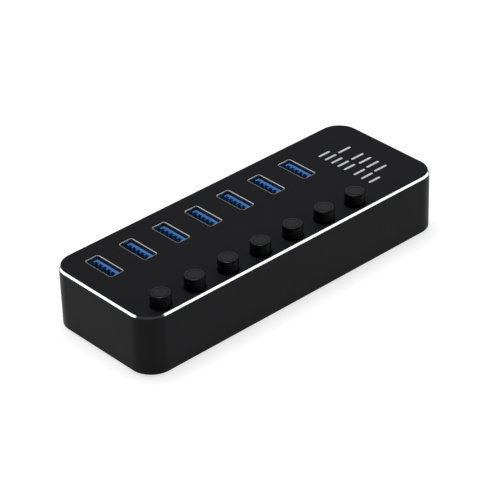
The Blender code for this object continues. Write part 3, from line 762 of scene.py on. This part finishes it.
# %% Build the springs
WIRE = 0.15 * MM
WINDS = 4
for number in SOCKETS:
    low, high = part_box(f"switch_spring_{number}")
    middle = (low + high) / 2
    radius = (high.x - low.x) / 2
    bpy.ops.mesh.primitive_circle_add(vertices=10, radius=WIRE, rotation=(math.radians(90), 0, 0),
                                      location=(radius - WIRE, 0, low.z + WIRE))
    spring = bpy.context.object
    spring.name = f"return_spring_{number}"
    bpy.ops.object.transform_apply(location=True, rotation=True, scale=True)
    wind = spring.modifiers.new("wind", "SCREW")
    wind.iterations, wind.steps, wind.render_steps = WINDS, 24, 24
    wind.screw_offset = (high.z - low.z - 2 * WIRE) / WINDS
    apply_all(spring)
    edit(spring)
    bpy.ops.mesh.select_all(action="SELECT")
    bpy.ops.mesh.fill_holes(sides=12)
    bpy.ops.mesh.normals_make_consistent(inside=False)
    bpy.ops.transform.translate(value=(middle.x, middle.y, 0))
    done()
    finish(spring, wire_steel, 50)
    keep(spring, "housing", "spring_wire", f"switch_spring_{number}")
    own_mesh(spring)
print("springs wound:", len(SOCKETS))

# %% [markdown]
# The plug's socket on the end
#
# The upstream socket is a taller box of the same sheet round a blue core. The core's opening is
# wide below and narrow above, with a tongue across the wide part, and contacts on the tongue and
# under the roof of the narrow part.

# %% Build the upstream socket's shell
OUTER_CORNER, INNER_CORNER, MOUTH_EDGE = 0.8 * MM, 0.5 * MM, 0.11 * MM
upstream_middle = (upstream_low + upstream_high) / 2
outer = block("upstream_shell", upstream_low, upstream_high)
bevel(outer, along(X), OUTER_CORNER, 8)
inner = block("inner", upstream_low + Vector((-MM, SHEET, SHEET)),
              upstream_high + Vector((MM, -SHEET, -SHEET)))
bevel(inner, along(X), INNER_CORNER, 8)
combine(outer, inner)
bevel(outer, at_level(X, upstream_high.x), MOUTH_EDGE, 3)
finish(outer, nickel)
keep(outer, "housing", "nickel_sheet", "upstream_socket_shell")
print("upstream shell faces:", len(outer.data.polygons))

# %% Build its core
PLUG_DEPTH = 9.2 * MM
PLUG_CORNER = 0.3 * MM
WIDE_HALF, WIDE_HIGH = 4.3 * MM, 5.2 * MM
NARROW_HALF, NARROW_LOW, NARROW_HIGH = 3.3 * MM, 4.4 * MM, 9.2 * MM
BLADE_WIDTH_HALF, BLADE_LOW, BLADE_HIGH, BLADE_RECESS = 2.8 * MM, 1.5 * MM, 3.7 * MM, 0.9 * MM
core_low, core_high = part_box("upstream_socket_core")
mid_y, plug_base = upstream_middle.y, upstream_middle.z - 4.6 * MM
core = block("upstream_core", core_low, core_high)
bevel(core, at_level(X, core_high.x), BASE_EDGE, 2)
wide = block("wide", (core_high.x - PLUG_DEPTH, mid_y - WIDE_HALF, plug_base),
             (core_high.x + MM, mid_y + WIDE_HALF, plug_base + WIDE_HIGH))
bevel(wide, along(X), PLUG_CORNER, 3)
narrow = block("narrow", (core_high.x - PLUG_DEPTH, mid_y - NARROW_HALF, plug_base + NARROW_LOW),
               (core_high.x + MM, mid_y + NARROW_HALF, plug_base + NARROW_HIGH))
bevel(narrow, along(X), PLUG_CORNER, 3)
combine(wide, narrow, "UNION")
combine(core, wide)
blade_tip = core_high.x - BLADE_RECESS
blade = block("blade", (core_high.x - PLUG_DEPTH - PLUG_CORNER, mid_y - BLADE_WIDTH_HALF,
                        plug_base + BLADE_LOW),
              (blade_tip, mid_y + BLADE_WIDTH_HALF, plug_base + BLADE_HIGH))
bevel(blade, at_level(X, blade_tip), PLUG_CORNER, 3)
combine(core, blade, "UNION")
finish(core, blue_plastic)
keep(core, "housing", "blue_insulator", "upstream_socket_core")
print("upstream core faces:", len(core.data.polygons))

# %% Build its contacts
CONTACT_DEPTH = 9.4 * MM
CONTACT_EDGE = 0.05 * MM


def plug_contact(y, half, low, high, recess):
    """One contact along the plug's way in. Sizes are in millimetres."""
    tip = core_high.x - recess * MM
    strip = block("contact", (core_high.x - CONTACT_DEPTH, mid_y + (y - half) * MM,
                              plug_base + low * MM),
                  (tip, mid_y + (y + half) * MM, plug_base + high * MM))
    bevel(strip, at_level(X, tip), CONTACT_EDGE, 2)
    return strip


strips = [plug_contact(y, 0.5, low, low + 0.16, 1.6) for y in (-1.25, 1.25) for low in (1.44, 3.60)]
strips += [plug_contact(y, 0.3, 9.04, 9.3, 1.2) for y in (-2.4, -1.2, 0.0, 1.2, 2.4)]
plug_contacts = join(strips)
plug_contacts.name = "upstream_contacts"
finish(plug_contacts, gold)
keep(plug_contacts, "housing", "contact_gold")
print("upstream contacts:", len(strips))

# %% [markdown]
# The power jack
#
# Behind the round hole is a moulded block with a bore, and a centre pin with a slit tip. The
# bore's edge is bevelled as a lead-in.

# %% Build the power jack's body
BORE_RADIUS, BORE_DEPTH = 3.15 * MM, 9.5 * MM
LEAD_IN = 0.35 * MM
JACK_CORNER = 0.4 * MM
jack = block("jack_body", jack_low, jack_high)
bevel(jack, along(X), JACK_CORNER, 3)
bore = turned("bore", [(0, BORE_DEPTH), (BORE_RADIUS, BORE_DEPTH), (BORE_RADIUS, LEAD_IN),
                       (BORE_RADIUS + LEAD_IN, 0), (BORE_RADIUS + LEAD_IN, -MM), (0, -MM)],
              (0, 0, 0))
lay_down(bore, (jack_high.x, jack_middle.y, jack_middle.z), -90)
combine(jack, bore)
finish(jack, jack_plastic)
keep(jack, "housing", "jack_resin", "power_jack_body")
print("jack bore", round(2 * BORE_RADIUS / MM, 2), "mm")

# %% Build its pin
SLIT_HALF, SLIT_DEPTH = 0.12 * MM, 3 * MM
pin_low, pin_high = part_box("power_jack_pin")
pin_radius = (pin_high.z - pin_low.z) / 2
length = pin_high.x - pin_low.x
tip = 0.6 * pin_radius
pin_outline = [(0, length)] + arc(pin_radius - tip, length - tip, tip, 90, 0, 6)
pin_outline += [(pin_radius, 0), (0, 0)]
pin = turned("jack_pin", pin_outline, (0, 0, 0), 40)
slit = block("slit", (-2 * MM, -SLIT_HALF, length - SLIT_DEPTH), (2 * MM, SLIT_HALF, length + MM))
combine(pin, slit)
lay_down(pin, (pin_low.x, jack_middle.y, jack_middle.z), 90)
finish(pin, pin_brass)
keep(pin, "housing", "jack_pin", "power_jack_pin")
print("jack pin", round(2 * pin_radius / MM, 2), "mm")

# %% [markdown]
# The underside
#
# A moulded cover closes the case. Four screws hold it, each in a round seat, and four rubber feet
# sit in shallow recesses. The seats and recesses are cut out of a rounded block.

# %% Build the cover
COVER_SHEET = 1.6 * MM
COVER_GAP = 0.25 * MM
FOOT_SEAT, FOOT_SEAT_DEPTH = 4.45 * MM, 0.5 * MM
HEAD_SEAT, HEAD_SEAT_DEPTH = 1.95 * MM, 0.95 * MM
DRILL_LENGTH = 6 * MM
cover = block("base_cover", cover_low, (cover_high.x, cover_high.y, cover_low.z + COVER_SHEET))
bevel(cover, along(Z), CASE_CORNER - WALL - COVER_GAP, 24)
bevel(cover, at_level(Z, cover_low.z), COVER_GAP, 3)
seats = []
for number in CORNERS:
    foot, head = middle_of(f"rubber_foot_{number}"), screw_places[number - 1]
    seats.append(rod(FOOT_SEAT, 2 * FOOT_SEAT_DEPTH, (foot.x, foot.y, cover_low.z), 64))
    seats.append(rod(HEAD_SEAT, 2 * HEAD_SEAT_DEPTH, (head.x, head.y, cover_low.z), 48))
combine(cover, join(seats))
drills = [rod(SCREW_HOLE, DRILL_LENGTH, (place.x, place.y, cover_low.z)) for place in screw_places]
combine(cover, join(drills))
finish(cover, cover_plastic)
keep(cover, "housing", "black_moulded", "bottom_cover")
print("cover faces:", len(cover.data.polygons))

# %% Build the feet
FOOT_EDGE = 0.3 * MM
RIB_HALF, RIB_DEPTH = 0.12 * MM, 0.1 * MM
foot_low, foot_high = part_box("rubber_foot_1")
foot_middle = (foot_low + foot_high) / 2
foot_radius = (foot_high.x - foot_low.x) / 2
foot_outline = [(0, foot_high.z), (foot_radius, foot_high.z)]
foot_outline += arc(foot_radius - FOOT_EDGE, FOOT_EDGE, FOOT_EDGE, 0, -90, 5)
for groove in (3.2, 2.4, 1.6, 0.8):
    foot_outline += [(groove * MM + RIB_HALF, 0), (groove * MM, RIB_DEPTH),
                     (groove * MM - RIB_HALF, 0)]
foot_outline += [(0, 0)]
foot = turned("foot_1", foot_outline, (foot_middle.x, foot_middle.y, 0))
finish(foot, foot_rubber)
for number in CORNERS:
    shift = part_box(f"rubber_foot_{number}")[0] - foot_low
    twin = foot if number == 1 else copy_to(foot, f"foot_{number}", shift)
    keep(twin, "housing", "rubber", f"rubber_foot_{number}")
print("foot", round(2 * foot_radius / MM, 2), "mm across")

# %% [markdown]
# The screws
#
# Small pan-head screws with a cross recess. The thread is drawn as rings, because only the head
# shows. The recess is two thin blocks cut out of the head.

# %% Draw a screw's outline
HEAD_RADIUS, HEAD_HEIGHT, HEAD_EDGE = 1.7 * MM, 0.7 * MM, 0.4 * MM
CREST, ROOT, THREAD_PITCH = 0.9 * MM, 0.68 * MM, 0.4 * MM
POINT, SHANK = 0.4 * MM, 0.7 * MM
THREAD_FROM_POINT, THREAD_FROM_HEAD = 1.5 * MM, 1.2 * MM
screw_low, screw_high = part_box("cover_screw_1")
screw_outline = [(0, screw_high.z), (POINT, screw_high.z)]
thread_z = screw_high.z - THREAD_FROM_POINT
while thread_z > screw_low.z + THREAD_FROM_HEAD:
    screw_outline += [(CREST, thread_z), (ROOT, thread_z - THREAD_PITCH / 2)]
    thread_z -= THREAD_PITCH
screw_outline += [(SHANK, screw_low.z + HEAD_HEIGHT), (HEAD_RADIUS, screw_low.z + HEAD_HEIGHT)]
screw_outline += arc(HEAD_RADIUS - HEAD_EDGE, screw_low.z + HEAD_EDGE, HEAD_EDGE, 0, -90, 6)
screw_outline += [(0, screw_low.z)]
print("points in the outline:", len(screw_outline))

# %% Build the screws
CROSS_LENGTH, CROSS_WIDTH, CROSS_DEPTH = 0.95 * MM, 0.17 * MM, 0.45 * MM
screw_middle = screw_places[0]
screw = turned("screw_1", screw_outline, (screw_middle.x, screw_middle.y, 0), 40)
for reach_x, reach_y in ((CROSS_LENGTH, CROSS_WIDTH), (CROSS_WIDTH, CROSS_LENGTH)):
    arm = block("cross", (screw_middle.x - reach_x, screw_middle.y - reach_y, screw_low.z - MM),
                (screw_middle.x + reach_x, screw_middle.y + reach_y, screw_low.z + CROSS_DEPTH))
    combine(screw, arm)
finish(screw, zinc)
for number in CORNERS:
    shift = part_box(f"cover_screw_{number}")[0] - screw_low
    twin = screw if number == 1 else copy_to(screw, f"screw_{number}", shift)
    keep(twin, "housing", "zinc_steel", f"cover_screw_{number}")
print("feet and screws:", len(CORNERS), "each")

# %% [markdown]
# The printed mark
#
# Two rows of pale marks are printed near the end. They are plain bars here, in groups, a film of
# ink three hundredths of a millimetre thick with round corners.

# %% Print the bars
BAR_WIDTH = 0.85 * MM
BAR_CORNER = 0.45 * BAR_WIDTH
INK_UNDER, INK_OVER = 0.01 * MM, 0.03 * MM


def bar(x_low, x_high, y):
    mark = block("bar", (x_low, y - BAR_WIDTH / 2, TOP - INK_UNDER),
                 (x_high, y + BAR_WIDTH / 2, TOP + INK_OVER))
    bevel(mark, along(Z), BAR_CORNER, 5)
    return mark


# each row in millimetres: where its bars begin and end along X, and their places along Y
rows = [(48.0, 53.6, (7.8, 1.6, -2.0, -5.6, -9.2)),
        (41.6, 46.7, (10.6, 7.6, 4.6, 1.6, -1.4, -6.0, -9.5, -13.0))]
for number, (x_low, x_high, places) in enumerate(rows, 1):
    bars = join([bar(x_low * MM, x_high * MM, y * MM) for y in places])
    bars.name = f"printed_bars_{number}"
    finish(bars, ink)
    keep(bars, "housing", "pale_print")
print("bars printed in", len(rows), "rows")

# %% [markdown]
# Parts inside
#
# The board, its parts and the switches stay as they are in the model, because their shapes are
# right. They only get their finishes.

# %% Finish the parts that are kept
kept = {"circuit_board": solder_mask, "hub_chip": chip_plastic, "clock_crystal": can_nickel,
        "input_capacitor": can_aluminium}
kept.update({f"switch_body_{number}": switch_plastic for number in SOCKETS})
kept.update({f"switch_plunger_{number}": stem_plastic for number in SOCKETS})
for name, material in kept.items():
    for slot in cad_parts[name].material_slots:
        slot.material = material
print("kept parts:", len(kept))

# %% [markdown]
# Floor and light
#
# The hub stands on a light table, a sheet of white acrylic lit from below, so its shadow is faint
# and soft. A box overhead lights the top and casts what shadow there is. A bright edge comes from
# what it mirrors: the front cut looks to the right and the left cut looks to the back, so the room
# is bright low down on those two sides. It is dim behind the top face, dark behind the camera and
# dark overhead, so that black stays black and the rounded near corner of the cut goes dark, as a
# mirror would.

# %% Floor
FLOOR_SIDE = 12
CLOUD = 0.3
bpy.ops.mesh.primitive_plane_add(size=FLOOR_SIDE, location=(0, 0, 0))
floor = bpy.context.object
floor.name = "table_top"
table, tree, shader, place = surface("pale_table", Roughness=0.9, Specular_IOR_Level=0.1)
cloud = add_node(tree, "TexNoise", {}, {"Vector": place, "Scale": 1 / CLOUD}).outputs["Fac"]
colour = add_node(tree, "Mix", {"data_type": "RGBA"}, {
    MIX_AMOUNT: cloud, MIX_FIRST: linear("#ADADAD"), MIX_SECOND: linear("#B0B0B0")})
tree.links.new(colour.outputs[MIX_COLOUR], shader.inputs["Base Color"])
shader.inputs["Emission Color"].default_value = linear("#FFFFFF")
shader.inputs["Emission Strength"].default_value = 0.71
floor.data.materials.append(table)
print("floor", FLOOR_SIDE, "m wide")


# %% The light overhead
def soft_box(name, direction, distance, width, height, radiance):
    """A soft box that faces the hub. Its power follows from how bright its face looks."""
    light = bpy.data.lights.new(name, "AREA")
    light.shape = "RECTANGLE"
    light.size, light.size_y = width, height
    light.energy = radiance * math.pi * width * height
    lamp = bpy.data.objects.new(name, light)
    bpy.context.scene.collection.objects.link(lamp)
    towards = Vector(direction).normalized()
    lamp.location = towards * distance
    lamp.rotation_euler = towards.to_track_quat("Z", "Y").to_euler()


soft_box("overhead_box", (0.05, 0.15, 1.0), distance=1.6, width=0.7, height=0.7, radiance=11.0)
lamps = [item for item in bpy.context.scene.objects if item.type == "LIGHT"]
print("lights:", len(lamps))

# %% The room round it
FAR_SIDE = (0.67, 0.745, 0.0)
SMOOTH = {"interpolation_type": "SMOOTHSTEP"}
world = bpy.data.worlds.new("studio_room")
world.use_nodes = True
room = world.node_tree
sight = add_node(room, "TexCoord", {}, {}).outputs["Generated"]
height = add_node(room, "SeparateXYZ", {}, {"Vector": sight}).outputs["Z"]
depth = add_node(room, "VectorMath", {"operation": "DOT_PRODUCT"},
                 {0: sight, 1: FAR_SIDE}).outputs["Value"]
back_wall = add_node(room, "MapRange", SMOOTH, {
    "Value": depth, "From Min": 0.55, "From Max": 0.75,
    "To Min": 1.5, "To Max": 0.4}).outputs["Result"]
all_walls = add_node(room, "MapRange", SMOOTH, {
    "Value": depth, "From Min": -0.45, "From Max": -0.25,
    "To Min": 0.08, "To Max": back_wall}).outputs["Result"]
glow = add_node(room, "MapRange", SMOOTH, {
    "Value": height, "From Min": 0.69, "From Max": 0.66,
    "To Min": 0.04, "To Max": all_walls}).outputs["Result"]
background = room.nodes["Background"]
room.links.new(glow, background.inputs["Strength"])
background.inputs["Color"].default_value = linear("#FBFCFF")
bpy.context.scene.world = world
bpy.context.scene.view_settings.view_transform = "Standard"
print("room nodes:", len(room.nodes))
